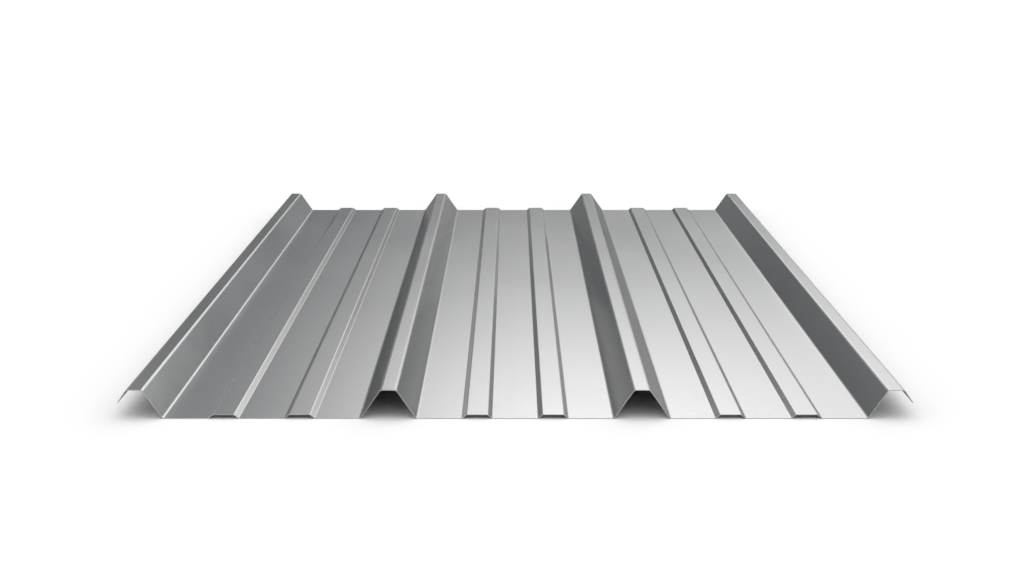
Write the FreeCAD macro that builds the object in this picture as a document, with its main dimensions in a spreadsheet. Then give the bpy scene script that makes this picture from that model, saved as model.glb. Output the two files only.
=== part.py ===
import FreeCAD, Part
import enum
import math
import os

import Sketcher

# Trapezoidal steel sheet: one strip of thin steel, roll formed along its length into high ribs,
# with two low stiffening ribs in the flat pan between each pair of high ribs. The two outer ribs
# stop short of the floor: each has a crown and a short free lip, which laps over the next sheet.
#
# Frame: +X across the ribs, +Y along them, +Z up. The origin lies on the floor under the middle
# of the sheet. Every size is in millimetres. Widths are measured between the sharp corners that
# the flats of the upper surface would meet in, and heights from upper surface to upper surface.

SIZES = {
    "sheet_length": 2000.0,
    "cover_width": 1000.0,
    "bay_count": 3,
    "steel_thickness": 1.0,
    "rib_height": 38.0,
    "rib_base_width": 74.0,
    "rib_crown_width": 21.0,
    "rib_bend_radius": 4.0,
    "lip_drop": 17.0,
    "stiffener_spacing": 100.0,
    "stiffener_height": 5.0,
    "stiffener_base_width": 40.0,
    "stiffener_crown_width": 28.0,
    "stiffener_bend_radius": 2.0,
}

# Expressions that several corners of the section share.
HALF_PITCH = "Sizes.cover_width / Sizes.bay_count / 2"
PAN_LEVEL = "Sizes.steel_thickness"
STIFFENER_LEVEL = "Sizes.steel_thickness + Sizes.stiffener_height"
CROWN_LEVEL = "Sizes.steel_thickness + Sizes.rib_height"


class Point(enum.IntEnum):
    """The sketcher's numbers for the points of a line or an arc."""

    START = 1
    END = 2
    CENTRE = 3


class Axis(enum.IntEnum):
    """The sketcher's numbers for a sketch's own axes. The first point of the first is its origin."""

    HORIZONTAL = -1
    VERTICAL = -2


ORIGIN = (Axis.HORIZONTAL, Point.START)


def make_sizes(document):
    """The driving dimensions, one named cell each."""
    sheet = document.addObject("Spreadsheet::Sheet", "Sizes")
    for row, (alias, value) in enumerate(SIZES.items(), start=1):
        sheet.set(f"A{row}", alias)
        sheet.set(f"B{row}", str(value))
        sheet.setAlias(f"B{row}", alias)
    document.recompute()
    return sheet


def origin_feature(body, role):
    """One of the body's own origin planes or axes."""
    return next(item for item in body.Origin.OriginFeatures if item.Role == role)


def section_sketch(body, name):
    """An empty sketch square to the ribs: its x is the sheet's width and its y is height."""
    sketch = body.newObject("Sketcher::SketchObject", name)
    sketch.AttachmentSupport = [(origin_feature(body, "XZ_Plane"), "")]
    sketch.MapMode = "FlatFace"
    return sketch


def bend_arc(centre, radius, first, last, turns_left):
    """An arc about centre, from direction first to direction last, and its two end numbers."""
    circle = Part.Circle(centre, FreeCAD.Vector(0, 0, 1), radius)
    first_angle = math.atan2(first.y, first.x)
    last_angle = math.atan2(last.y, last.x)
    if turns_left:
        return Part.ArcOfCircle(circle, first_angle, last_angle), Point.START, Point.END
    return Part.ArcOfCircle(circle, last_angle, first_angle), Point.END, Point.START


def fold_strip(sketch, corners):
    """Draws a folded strip of steel as a closed, fully constrained outline.

    corners lists the sharp corners of the upper surface from left to right, each as a name, an
    expression for x, one for z, and the size that is the bend's inner radius. The first and the
    last corner are the strip's square cut ends and have no bend.
    """
    value = {name: float(sketch.evalExpression(f"Sizes.{name}")) for name in SIZES}
    thickness = value["steel_thickness"]
    points = [
        FreeCAD.Vector(float(sketch.evalExpression(x)), float(sketch.evalExpression(z)), 0)
        for _, x, z, _ in corners
    ]
    along = [(after - before).normalize() for before, after in zip(points, points[1:])]
    below = [FreeCAD.Vector(unit.y, -unit.x, 0) for unit in along]

    # Every bend has one centre. Its upper and lower arcs differ in radius by the thickness.
    bends = []
    upper_ends = [points[0]]
    lower_ends = [points[0] + below[0] * thickness]
    for index, (_, _, _, radius_name) in enumerate(corners[1:-1], start=1):
        before, after = along[index - 1], along[index]
        turns_left = before.cross(after).z > 0
        inner = value[radius_name]
        upper = inner if turns_left else inner + thickness
        lower = inner + thickness if turns_left else inner
        to_steel = 1 if turns_left else -1
        setback = upper * math.tan(before.getAngle(after) / 2)
        first = below[index - 1] * to_steel
        last = below[index] * to_steel
        centre = points[index] - before * setback - first * upper
        bends.append((centre, upper, lower, first, last, turns_left, radius_name))
        upper_ends += [centre + first * upper, centre + last * upper]
        lower_ends += [centre + first * lower, centre + last * lower]
    upper_ends.append(points[-1])
    lower_ends.append(points[-1] + below[-1] * thickness)

    def add_flats(ends):
        return [
            sketch.addGeometry(Part.LineSegment(ends[2 * i], ends[2 * i + 1]), False)
            for i in range(len(along))
        ]

    def constrain(*details):
        return sketch.addConstraint(Sketcher.Constraint(*details))

    def dimension(name, expression, *details):
        number = constrain(*details)
        sketch.renameConstraint(number, name)
        sketch.setExpression(f"Constraints.{name}", expression)

    upper_flats = add_flats(upper_ends)
    lower_flats = add_flats(lower_ends)

    for number, bend in enumerate(bends):
        centre, upper, lower, first, last, turns_left, radius_name = bend
        corner_name = corners[number + 1][0]
        arcs = []
        for flats, radius in ((upper_flats, upper), (lower_flats, lower)):
            arc, enters, leaves = bend_arc(centre, radius, first, last, turns_left)
            arcs.append(sketch.addGeometry(arc, False))
            constrain("Tangent", flats[number], Point.END, arcs[-1], enters)
            constrain("Tangent", arcs[-1], leaves, flats[number + 1], Point.START)
        constrain("Coincident", arcs[0], Point.CENTRE, arcs[1], Point.CENTRE)
        inner_arc, outer_arc = arcs if turns_left else reversed(arcs)
        inner_radius, outer_radius = sorted((upper, lower))
        dimension(
            f"{corner_name}_inner_radius", f"Sizes.{radius_name}",
            "Radius", inner_arc, inner_radius,
        )
        dimension(
            f"{corner_name}_outer_radius", f"Sizes.{radius_name} + Sizes.steel_thickness",
            "Radius", outer_arc, outer_radius,
        )

    # The flats of the upper surface run through the sharp corners, which carry the dimensions.
    marks = [(upper_flats[0], Point.START)]
    for number, point in enumerate(points[1:-1]):
        mark = sketch.addGeometry(Part.Point(point), True)
        constrain("PointOnObject", mark, Point.START, upper_flats[number])
        constrain("PointOnObject", mark, Point.START, upper_flats[number + 1])
        marks.append((mark, Point.START))
    marks.append((upper_flats[-1], Point.END))
    for (name, x, z, _), mark, point in zip(corners, marks, points):
        if x == "0":
            constrain("PointOnObject", *mark, Axis.VERTICAL)
        else:
            dimension(f"{name}_x", x, "DistanceX", *ORIGIN, *mark, point.x)
        dimension(f"{name}_z", z, "DistanceY", *ORIGIN, *mark, point.y)

    # Square cuts close the outline at both ends.
    for flat, side, upper_end, lower_end in (
        (0, Point.START, upper_ends[0], lower_ends[0]),
        (-1, Point.END, upper_ends[-1], lower_ends[-1]),
    ):
        cut = sketch.addGeometry(Part.LineSegment(upper_end, lower_end), False)
        constrain("Coincident", cut, Point.START, upper_flats[flat], side)
        constrain("Coincident", cut, Point.END, lower_flats[flat], side)
        constrain("Perpendicular", cut, upper_flats[flat])
        constrain("Parallel", lower_flats[flat], upper_flats[flat])


def run_along_sheet(body, section, name):
    """The section, extruded over the sheet's whole length."""
    pad = body.newObject("PartDesign::Pad", name)
    pad.Profile = section
    pad.SideType = "Symmetric"
    pad.setExpression("Length", "Sizes.sheet_length")
    return pad


def half_bay_corners():
    """From the middle of a bay's pan to the middle of the next high rib's crown."""
    bend = "stiffener_bend_radius"
    middle = "Sizes.stiffener_spacing / 2"
    half_base = "Sizes.stiffener_base_width / 2"
    half_crown = "Sizes.stiffener_crown_width / 2"
    return [
        ("pan_middle", "0", PAN_LEVEL, None),
        ("stiffener_inner_foot", f"{middle} - {half_base}", PAN_LEVEL, bend),
        ("stiffener_inner_shoulder", f"{middle} - {half_crown}", STIFFENER_LEVEL, bend),
        ("stiffener_outer_shoulder", f"{middle} + {half_crown}", STIFFENER_LEVEL, bend),
        ("stiffener_outer_foot", f"{middle} + {half_base}", PAN_LEVEL, bend),
        ("rib_foot", f"{HALF_PITCH} - Sizes.rib_base_width / 2", PAN_LEVEL, "rib_bend_radius"),
        ("rib_shoulder", f"{HALF_PITCH} - Sizes.rib_crown_width / 2", CROWN_LEVEL, "rib_bend_radius"),
        ("rib_middle", HALF_PITCH, CROWN_LEVEL, None),
    ]


def edge_lip_corners():
    """From the middle of the outer rib's crown to its free lip, which has the flank's slope."""
    flank_run = "(Sizes.rib_base_width - Sizes.rib_crown_width) / 2"
    half_crown = "Sizes.rib_crown_width / 2"
    lip_edge = f"{half_crown} + {flank_run} * Sizes.lip_drop / Sizes.rib_height"
    return [
        ("crown_middle", "0", CROWN_LEVEL, None),
        ("lip_shoulder", half_crown, CROWN_LEVEL, "rib_bend_radius"),
        ("lip_edge", lip_edge, f"{CROWN_LEVEL} - Sizes.lip_drop", None),
    ]


def add_bays(document, body):
    """Half a bay, mirrored about the bay's middle and repeated at the rib pitch."""
    section = section_sketch(body, "HalfBaySection")
    section.setExpression("AttachmentOffset.Base.x", f"-(Sizes.bay_count - 1) * {HALF_PITCH}")
    fold_strip(section, half_bay_corners())
    half_bay = run_along_sheet(body, section, "HalfBay")
    document.recompute()

    mirrored = body.newObject("PartDesign::Mirrored", "OtherHalf")
    mirrored.MirrorPlane = (section, ["V_Axis"])
    pattern = body.newObject("PartDesign::LinearPattern", "NextBays")
    pattern.Direction = (section, ["H_Axis"])
    pattern.Mode = "Spacing"
    pattern.setExpression("Offset", f"2 * {HALF_PITCH}")
    pattern.setExpression("Occurrences", "Sizes.bay_count")
    bays = body.newObject("PartDesign::MultiTransform", "Bays")
    bays.Originals = [half_bay]
    bays.Transformations = [mirrored, pattern]
    body.Tip = bays
    document.recompute()


def add_edge_lips(document, body):
    """The outer half of each edge rib."""
    section = section_sketch(body, "EdgeLipSection")
    section.setExpression("AttachmentOffset.Base.x", "Sizes.cover_width / 2")
    fold_strip(section, edge_lip_corners())
    lip = run_along_sheet(body, section, "EdgeLip")
    document.recompute()

    other_edge = body.newObject("PartDesign::Mirrored", "OtherEdgeLip")
    other_edge.Originals = [lip]
    other_edge.MirrorPlane = (origin_feature(body, "YZ_Plane"), [""])
    body.Tip = other_edge
    document.recompute()


def make_sheet(document):
    """The one solid: the whole profiled sheet."""
    body = document.addObject("PartDesign::Body", "TrapezoidalSheet")
    body.Label = "trapezoidal_sheet"
    add_bays(document, body)
    add_edge_lips(document, body)
    return body


def check(document, pieces):
    """Stops the build on a failed feature or a bad shape."""
    for item in document.Objects:
        if "Invalid" in item.State or "Error" in item.State:
            raise RuntimeError(f"{item.Name} failed: {item.State}")
        if item.TypeId == "Sketcher::SketchObject" and not item.FullyConstrained:
            raise RuntimeError(f"{item.Name} isn't fully constrained")
    for piece in pieces:
        if piece.Shape.isNull() or not piece.Shape.isValid() or len(piece.Shape.Solids) != 1:
            raise RuntimeError(f"{piece.Label} isn't one valid solid")


def main():
    document = FreeCAD.newDocument("TrapezoidalSheet")
    make_sizes(document)
    pieces = [make_sheet(document)]
    document.recompute()
    check(document, pieces)
    os.makedirs("parts", exist_ok=True)
    for piece in pieces:
        piece.Shape.exportStep(f"parts/{piece.Label}.step")
        box = piece.Shape.BoundBox
        print(
            f"{piece.Label}: {box.XLength:.2f} x {box.YLength:.2f} x {box.ZLength:.2f} mm,"
            f" {piece.Shape.Volume:.0f} mm3, {len(piece.Shape.Faces)} faces,"
            f" {len(piece.Shape.Solids)} solid"
        )


main()
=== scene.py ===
"""A trapezoidal steel sheet with a satin zinc finish, on a white floor in soft studio light."""

import math

import bpy
from mathutils import Matrix, Vector


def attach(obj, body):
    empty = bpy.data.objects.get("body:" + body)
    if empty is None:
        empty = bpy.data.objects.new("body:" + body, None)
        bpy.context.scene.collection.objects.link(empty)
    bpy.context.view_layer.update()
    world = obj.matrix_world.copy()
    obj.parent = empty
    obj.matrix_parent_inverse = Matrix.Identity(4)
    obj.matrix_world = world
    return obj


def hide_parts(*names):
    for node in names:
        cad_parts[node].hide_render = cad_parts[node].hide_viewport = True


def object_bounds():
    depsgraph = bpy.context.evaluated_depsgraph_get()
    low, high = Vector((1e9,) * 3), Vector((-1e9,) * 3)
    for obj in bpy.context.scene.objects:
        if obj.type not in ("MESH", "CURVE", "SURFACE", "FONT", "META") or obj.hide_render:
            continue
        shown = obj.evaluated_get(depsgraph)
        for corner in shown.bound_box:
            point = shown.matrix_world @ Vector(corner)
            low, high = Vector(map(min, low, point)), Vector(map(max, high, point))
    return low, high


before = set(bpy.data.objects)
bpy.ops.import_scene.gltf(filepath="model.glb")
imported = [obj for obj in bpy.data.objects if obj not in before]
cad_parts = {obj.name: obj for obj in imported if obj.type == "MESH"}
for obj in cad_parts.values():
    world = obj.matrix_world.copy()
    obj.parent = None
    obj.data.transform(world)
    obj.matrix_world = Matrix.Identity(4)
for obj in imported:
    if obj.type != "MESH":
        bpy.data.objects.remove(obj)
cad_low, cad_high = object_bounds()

MM = 0.001

# The section of the sheet, as in the part's source: widths between the sharp corners of the
# upper surface, heights from upper surface to upper surface.
BAYS = 3
COVER_WIDTH = 1000 * MM
THICKNESS = 1.0 * MM
RIB_HEIGHT = 38 * MM
RIB_BASE = 74 * MM
RIB_CROWN = 21 * MM
RIB_BEND = 4 * MM
LIP_DROP = 17 * MM
STIFFENER_SPACING = 100 * MM
STIFFENER_HEIGHT = 5 * MM
STIFFENER_BASE = 40 * MM
STIFFENER_CROWN = 28 * MM
STIFFENER_BEND = 2 * MM
PITCH = COVER_WIDTH / BAYS

# How finely the mesh follows it, and the rounding of its cut edges.
BEND_STEPS = 8
LENGTH_STEP = 50 * MM
EDGE_ROUND = 0.12 * MM

# Reflectance of the zinc and of the bare steel at the cut edges, and how far it falls off at
# grazing angles, where a worked surface mirrors less than a perfect one.
ZINC = (0.474, 0.4745, 0.475)
BARE_STEEL = (0.72, 0.72, 0.71, 1)
GRAZING = (0.65, 0.65, 0.65, 1)
# Painted shade on the sheet's reflections of itself: the share of its colour that the zinc keeps in
# the mirror images the sheet shows of itself.
ZINC_SHARE_IN_PAINTED_REFLECTIONS = 0.6

# The patterns on the steel: crystals in a metre, and waves of noise in a metre along x, y and z.
CRYSTALS = 220.0
CLOUDS = (5.0, 2.5, 5.0)
STREAKS = (320.0, 1.6, 320.0)
GRAIN = (1800.0, 1800.0, 1800.0)
SHEAR_MARKS = (2600.0, 2600.0, 500.0)
CLOUD_DETAIL = 3.0
FINE_DETAIL = 2.0
# The share by which each varies the brightness, up and down.
CRYSTAL_TONE = 0.015
CLOUD_TONE = 0.03
STREAK_TONE = 0.02
# The roughness of the zinc, its variations up and down, and what bends and cut edges add to it.
ROUGHNESS = 0.18
CRYSTAL_ROUGHNESS = 0.01
CLOUD_ROUGHNESS = 0.02
BEND_ROUGHNESS = 0.06
CUT_ROUGHNESS = 0.2
# The height of each pattern's relief.
GRAIN_RELIEF = 0.0004 * MM
STREAK_RELIEF = 0.0006 * MM
SHEAR_RELIEF = 0.03 * MM

# The camera that puts the sheet where the photo has it, its lens and sensor in millimetres.
CAMERA_PLACE = (-0.0042, -3.5455, 0.6281)
CAMERA_TILT = math.radians(10.10)
LENS = 70.0
SENSOR = 36.0

# The studio: each panel of light by the azimuth of its middle (degrees from the back towards the
# right), its elevation, half its width, the fade beside it, half its height, the fade above and
# below it, and its strength.
PANELS = [
    (2.5, 15.5, 0.6, 11.8, 0.6, 7.1, 2.48),
    (26, 17.6, 6.6, 17, 9.4, 3.1, 2),
    (-17.5, 16.4, 2.3, 3.3, 3, 10, 1.1),
    (4.5, 0.3, 8.5, 7.5, 1.4, 1.6, 0.66),
    (-11, 5, 2, 4, 1.5, 3, 0.06),
    (180, 2, 60, 50, 6, 7, 1.6),
]
# The rest of the studio, dim near the floor and rising to the overhead light between two
# elevations.
DIM = 0.12
OVERHEAD = 1.12
OVERHEAD_RISE = (8.8, 23)
# The light is a little cooler where it is dim.
DIM_COLOUR = (0.93, 1.0, 1.065, 1)
BRIGHT_COLOUR = (1.0, 1.0, 1.0, 1)

# The floor: half its side in metres, its white, and its painted shade, the darker colour it takes
# in the mirror images of it.
FLOOR_HALF = 40.0
FLOOR_WHITE = 0.905
FLOOR_PAINTED_REFLECTION_SHADE = 0.27
FLOOR_ROUGHNESS = 0.9


def fold(centre, base, crown, height, bend):
    """The sharp corners of the upper surface over one rib, as (x, z, inner bend radius)."""
    foot_level = THICKNESS
    crown_level = THICKNESS + height
    return [
        (centre - base / 2, foot_level, bend),
        (centre - crown / 2, crown_level, bend),
        (centre + crown / 2, crown_level, bend),
        (centre + base / 2, foot_level, bend),
    ]


def section_corners():
    """The sharp corners of the upper surface of the whole sheet, from lip to lip."""
    corners = []
    for number in range(BAYS + 1):
        rib = number * PITCH - COVER_WIDTH / 2
        corners += fold(rib, RIB_BASE, RIB_CROWN, RIB_HEIGHT, RIB_BEND)
        if number < BAYS:
            for side in (-1, 1):
                stiffener = rib + PITCH / 2 + side * STIFFENER_SPACING / 2
                corners += fold(
                    stiffener, STIFFENER_BASE, STIFFENER_CROWN, STIFFENER_HEIGHT, STIFFENER_BEND
                )
    # The outer flanks of the edge ribs end in a lip, part of the way down.
    lip_run = (RIB_BASE - RIB_CROWN) / 2 * LIP_DROP / RIB_HEIGHT
    lip_x = COVER_WIDTH / 2 + RIB_CROWN / 2 + lip_run
    lip_level = THICKNESS + RIB_HEIGHT - LIP_DROP
    corners[0] = (-lip_x, lip_level, None)
    corners[-1] = (lip_x, lip_level, None)
    return corners


def strip_surface(corners, upper):
    """One surface of the folded strip, as a list of (point, outward normal, bend) from lip to lip.

    bend is 1 in the middle of a bend and 0 on the flats. The surface stops short of the cut edges
    of the lips by their rounding.
    """
    points = [Vector(corner[:2]) for corner in corners]
    directions = [(b - a).normalized() for a, b in zip(points, points[1:])]
    normals = [Vector((-along.y, along.x)) for along in directions]
    depth = 0.0 if upper else THICKNESS
    outward = 1 if upper else -1

    start = points[0] + directions[0] * EDGE_ROUND - normals[0] * depth
    path = [(start, normals[0] * outward, 0.0)]
    for index in range(1, len(points) - 1):
        before = normals[index - 1]
        after = normals[index]
        turn = math.atan2(before.x * after.y - before.y * after.x, before.dot(after))
        side = 1 if turn > 0 else -1
        radius = corners[index][2] + (0 if turn > 0 else THICKNESS)
        setback = radius * math.tan(abs(turn) / 2)
        centre = points[index] - directions[index - 1] * setback + before * radius * side
        own_radius = radius + depth * side
        for step in range(BEND_STEPS + 1):
            share = step / BEND_STEPS
            normal = Matrix.Rotation(turn * share, 2) @ before
            bend = math.sin(math.pi * share)
            path.append((centre - normal * own_radius * side, normal * outward, bend))
    finish = points[-1] - directions[-1] * EDGE_ROUND - normals[-1] * depth
    path.append((finish, normals[-1] * outward, 0.0))
    return path


def lip_edge(tip, outward, normal):
    """The two points of the cut edge of a lip, first the one nearer the upper surface."""
    first = tip - normal * EDGE_ROUND
    second = tip - normal * (THICKNESS - EDGE_ROUND)
    return [(first, outward, 0.0), (second, outward, 0.0)]


def section_outline():
    """The whole outline of the section and the number of its points on the upper surface.

    It runs along the upper surface, over the right lip, back along the lower surface and over the
    left lip.
    """
    corners = section_corners()
    upper = strip_surface(corners, upper=True)
    lower = strip_surface(corners, upper=False)
    right_tip = Vector(corners[-1][:2])
    left_tip = Vector(corners[0][:2])
    right_out = (right_tip - Vector(corners[-2][:2])).normalized()
    left_out = (left_tip - Vector(corners[1][:2])).normalized()
    right_edge = lip_edge(right_tip, right_out, upper[-1][1])
    left_edge = lip_edge(left_tip, left_out, upper[0][1])
    return upper + right_edge + lower[::-1] + left_edge[::-1], len(upper)


def make_sheet():
    """The folded strip as one closed mesh, with smooth bends and slightly rounded cut edges."""
    outline, on_top = section_outline()
    count = len(outline)
    # The points of the lips' cut edges, each with its neighbour on the upper or lower surface.
    lip_points = {on_top: on_top - 1, on_top + 1: on_top + 2, count - 2: count - 3, count - 1: 0}
    front = cad_low.y
    back = cad_high.y
    steps = round((back - front) / LENGTH_STEP)
    inner = [front + (back - front) * step / steps for step in range(1, steps)]
    stations = [front, front + EDGE_ROUND, *inner, back - EDGE_ROUND, back]

    places = []
    normals = []
    bends = []
    cuts = []
    rows = []
    for y in stations:
        at_end = y in (front, back)
        end_normal = (0, 1 if y == back else -1, 0)
        row = {}
        for index, (point, normal, bend) in enumerate(outline):
            if at_end and index in lip_points:
                continue
            placed = point - normal * EDGE_ROUND if at_end else point
            row[index] = len(places)
            places.append((placed.x, y, placed.y))
            normals.append(end_normal if at_end else (normal.x, 0, normal.y))
            bends.append(bend)
            cuts.append(1.0 if at_end or index in lip_points else 0.0)
        if at_end:
            # The rounding brings each corner of a lip to one point with its neighbour.
            row |= {index: row[neighbour] for index, neighbour in lip_points.items()}
        rows.append(row)

    faces = []
    for near, far in zip(rows, rows[1:]):
        for column in range(count):
            following = (column + 1) % count
            face = (near[column], near[following], far[following], far[column])
            faces.append(tuple(dict.fromkeys(face)))
    # The two cut ends, closed by faces between the rungs that join each point of the upper
    # surface to the one under it.
    first = rows[0]
    last = rows[-1]
    rungs = [(place, 2 * on_top + 1 - place) for place in range(on_top)]
    for (a, a_under), (b, b_under) in zip(rungs, rungs[1:]):
        faces.append((first[b], first[a], first[a_under], first[b_under]))
        faces.append((last[a], last[b], last[b_under], last[a_under]))

    mesh = bpy.data.meshes.new("sheet_steel")
    mesh.from_pydata(places, [], faces)
    mesh.shade_smooth()
    mesh.normals_split_custom_set_from_vertices(normals)
    for name, values in (("bend", bends), ("cut", cuts)):
        mesh.attributes.new(name, "FLOAT", "POINT").data.foreach_set("value", values)
    sheet = bpy.data.objects.new("sheet_steel", mesh)
    bpy.context.scene.collection.objects.link(sheet)
    return sheet


# The sockets for colours of a mix node, which has others of the same names.
FIRST_COLOUR = 6
SECOND_COLOUR = 7
MIXED_COLOUR = 2


def add_node(tree, kind, inputs, **settings):
    """A new node with its settings; each input is set to a value or linked to another socket."""
    node = tree.nodes.new(kind)
    for name, value in settings.items():
        setattr(node, name, value)
    for name, value in inputs.items():
        if isinstance(value, bpy.types.NodeSocket):
            tree.links.new(value, node.inputs[name])
        else:
            node.inputs[name].default_value = value
    return node


def calculate(tree, operation, first, second=0.0):
    """The result of one math node."""
    node = add_node(tree, "ShaderNodeMath", {0: first, 1: second}, operation=operation)
    return node.outputs["Value"]


def combine(tree, operation, first, *others):
    """The sum or product of several values."""
    result = first
    for value in others:
        result = calculate(tree, operation, result, value)
    return result


def noise(tree, place, stretch, detail):
    """Noise between 0 and 1, with this many waves in a metre along each axis."""
    stretched = add_node(tree, "ShaderNodeMapping", {"Vector": place, "Scale": stretch})
    inputs = {"Vector": stretched.outputs["Vector"], "Scale": 1.0, "Detail": detail}
    return add_node(tree, "ShaderNodeTexNoise", inputs).outputs["Fac"]


def between(tree, value, low, high):
    """The value, from 0 to 1, as a share of the way from low to high."""
    inputs = {"Value": value, "To Min": low, "To Max": high}
    return add_node(tree, "ShaderNodeMapRange", inputs).outputs["Result"]


def around(tree, value, middle, spread):
    """The value, from 0 to 1, as a number at most the spread away from the middle."""
    return between(tree, value, middle - spread, middle + spread)


def zinc_material():
    """Bright zinc on steel: fine crystals, faint streaks from the rolls, bare cut edges, and
    painted shade in its mirror images of itself.
    """
    material = bpy.data.materials.new("bright_zinc")
    material.use_nodes = True
    tree = material.node_tree
    shader = tree.nodes["Principled BSDF"]
    shader.inputs["Metallic"].default_value = 1.0
    shader.inputs["Specular Tint"].default_value = GRAZING
    # Painted shade: the zinc's colour is darker where the sheet is seen in its own mirror images.
    mirrored = add_node(tree, "ShaderNodeLightPath", {}).outputs["Is Glossy Ray"]
    painted_reflection_shade = between(tree, mirrored, 1.0, ZINC_SHARE_IN_PAINTED_REFLECTIONS)
    place = add_node(tree, "ShaderNodeTexCoord", {}).outputs["Object"]
    bend = add_node(tree, "ShaderNodeAttribute", {}, attribute_name="bend").outputs["Fac"]
    cut = add_node(tree, "ShaderNodeAttribute", {}, attribute_name="cut").outputs["Fac"]

    cells = add_node(tree, "ShaderNodeTexVoronoi", {"Vector": place, "Scale": CRYSTALS})
    crystal = add_node(tree, "ShaderNodeSeparateColor", {"Color": cells.outputs["Color"]}).outputs
    clouds = noise(tree, place, CLOUDS, CLOUD_DETAIL)
    streaks = noise(tree, place, STREAKS, FINE_DETAIL)
    grain = noise(tree, place, GRAIN, FINE_DETAIL)
    shear_marks = noise(tree, place, SHEAR_MARKS, FINE_DETAIL)

    brightness = combine(
        tree, "MULTIPLY",
        around(tree, crystal["Red"], 1, CRYSTAL_TONE),
        around(tree, clouds, 1, CLOUD_TONE),
        around(tree, streaks, 1, STREAK_TONE),
        painted_reflection_shade,
    )
    zinc = add_node(tree, "ShaderNodeVectorMath", {0: ZINC, "Scale": brightness}, operation="SCALE")
    mixed = {"Factor": cut, FIRST_COLOUR: zinc.outputs["Vector"], SECOND_COLOUR: BARE_STEEL}
    colour = add_node(tree, "ShaderNodeMix", mixed, data_type="RGBA").outputs[MIXED_COLOUR]
    tree.links.new(colour, shader.inputs["Base Color"])

    roughness = combine(
        tree, "ADD",
        around(tree, crystal["Green"], ROUGHNESS, CRYSTAL_ROUGHNESS),
        around(tree, clouds, 0, CLOUD_ROUGHNESS),
        calculate(tree, "MULTIPLY", bend, BEND_ROUGHNESS),
        calculate(tree, "MULTIPLY", cut, CUT_ROUGHNESS),
    )
    tree.links.new(roughness, shader.inputs["Roughness"])

    relief = combine(
        tree, "ADD",
        calculate(tree, "MULTIPLY", grain, GRAIN_RELIEF),
        calculate(tree, "MULTIPLY", streaks, STREAK_RELIEF),
        combine(tree, "MULTIPLY", shear_marks, cut, SHEAR_RELIEF),
    )
    bump = add_node(tree, "ShaderNodeBump", {"Height": relief, "Distance": 1.0})
    tree.links.new(bump.outputs["Normal"], shader.inputs["Normal"])
    return material


def make_floor():
    """A plain white floor, with painted shade that makes it darker in the mirror images that the
    sheet shows of it.
    """
    mesh = bpy.data.meshes.new("studio_floor")
    corners = ((-1, -1), (1, -1), (1, 1), (-1, 1))
    places = [(FLOOR_HALF * x, FLOOR_HALF * y, 0) for x, y in corners]
    mesh.from_pydata(places, [], [(0, 1, 2, 3)])
    floor = bpy.data.objects.new("studio_floor", mesh)
    bpy.context.scene.collection.objects.link(floor)
    material = bpy.data.materials.new("studio_floor")
    material.use_nodes = True
    tree = material.node_tree
    # The painted shade is only in the sheet's direct mirror images of the floor; the light that the
    # sheet throws back onto the floor isn't held back.
    path = add_node(tree, "ShaderNodeLightPath", {}).outputs
    mirrored = calculate(tree, "SUBTRACT", path["Is Glossy Ray"], path["Diffuse Depth"])
    floor_white_and_painted_shade = between(tree, mirrored, FLOOR_WHITE, FLOOR_PAINTED_REFLECTION_SHADE)
    shader = tree.nodes["Principled BSDF"]
    shader.inputs["Roughness"].default_value = FLOOR_ROUGHNESS
    shader.inputs["Specular IOR Level"].default_value = 0.0
    tree.links.new(floor_white_and_painted_shade, shader.inputs["Base Color"])
    mesh.materials.append(material)


def make_camera():
    """Looks along the ribs and slightly down, as in the photo."""
    camera_data = bpy.data.cameras.new("camera")
    camera_data.sensor_width = SENSOR
    camera_data.lens = LENS
    camera = bpy.data.objects.new("camera", camera_data)
    camera.location = CAMERA_PLACE
    camera.rotation_euler = (math.pi / 2 - CAMERA_TILT, 0, 0)
    bpy.context.scene.collection.objects.link(camera)
    bpy.context.scene.camera = camera


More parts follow.
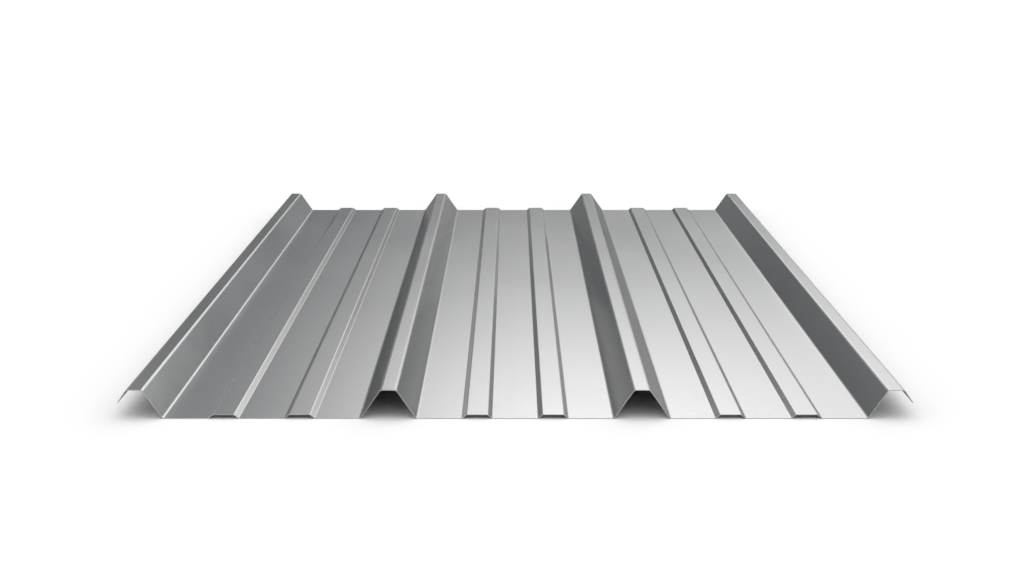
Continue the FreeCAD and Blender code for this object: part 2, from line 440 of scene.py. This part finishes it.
def falloff(tree, distance, half, soft):
    """1 up to half, then smoothly down to 0 over soft."""
    inputs = {"Value": distance, "From Min": half, "From Max": half + soft}
    inputs |= {"To Min": 1.0, "To Max": 0.0}
    node = add_node(tree, "ShaderNodeMapRange", inputs, interpolation_type="SMOOTHSTEP")
    return node.outputs["Result"]


def make_world():
    """Soft panels of light around the sheet. The camera itself sees plain white behind it."""
    world = bpy.data.worlds.new("studio")
    bpy.context.scene.world = world
    world.use_nodes = True
    tree = world.node_tree
    direction = add_node(tree, "ShaderNodeTexCoord", {}).outputs["Generated"]
    part = add_node(tree, "ShaderNodeSeparateXYZ", {"Vector": direction}).outputs
    azimuth = calculate(tree, "ARCTAN2", part["X"], part["Y"])
    elevation = calculate(tree, "ARCSINE", part["Z"])
    rise_start, rise_end = map(math.radians, OVERHEAD_RISE)
    rise = {"Value": elevation, "From Min": rise_start, "From Max": rise_end}
    rise |= {"To Min": DIM, "To Max": OVERHEAD}
    light = add_node(tree, "ShaderNodeMapRange", rise).outputs["Result"]
    for *angles, brightness in PANELS:
        aside, up, half_width, side_fade, half_height, top_fade = map(math.radians, angles)
        turned = calculate(tree, "SUBTRACT", azimuth, aside)
        across = calculate(tree, "PINGPONG", turned, math.pi)
        raised = calculate(tree, "ABSOLUTE", calculate(tree, "SUBTRACT", elevation, up))
        glow = combine(
            tree, "MULTIPLY",
            falloff(tree, across, half_width, side_fade),
            falloff(tree, raised, half_height, top_fade),
            brightness,
        )
        light = calculate(tree, "ADD", light, glow)
    seen = add_node(tree, "ShaderNodeLightPath", {}).outputs["Is Camera Ray"]
    strength = calculate(tree, "MAXIMUM", light, seen)
    tones = {"Factor": strength, FIRST_COLOUR: DIM_COLOUR, SECOND_COLOUR: BRIGHT_COLOUR}
    colour = add_node(tree, "ShaderNodeMix", tones, data_type="RGBA").outputs[MIXED_COLOUR]
    background = tree.nodes["Background"]
    tree.links.new(colour, background.inputs["Color"])
    tree.links.new(strength, background.inputs["Strength"])


sheet = make_sheet()
sheet.data.materials.append(zinc_material())
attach(sheet, "root")
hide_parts("trapezoidal_sheet")
make_floor()
make_camera()
make_world()
bpy.context.scene.view_settings.view_transform = "Standard"
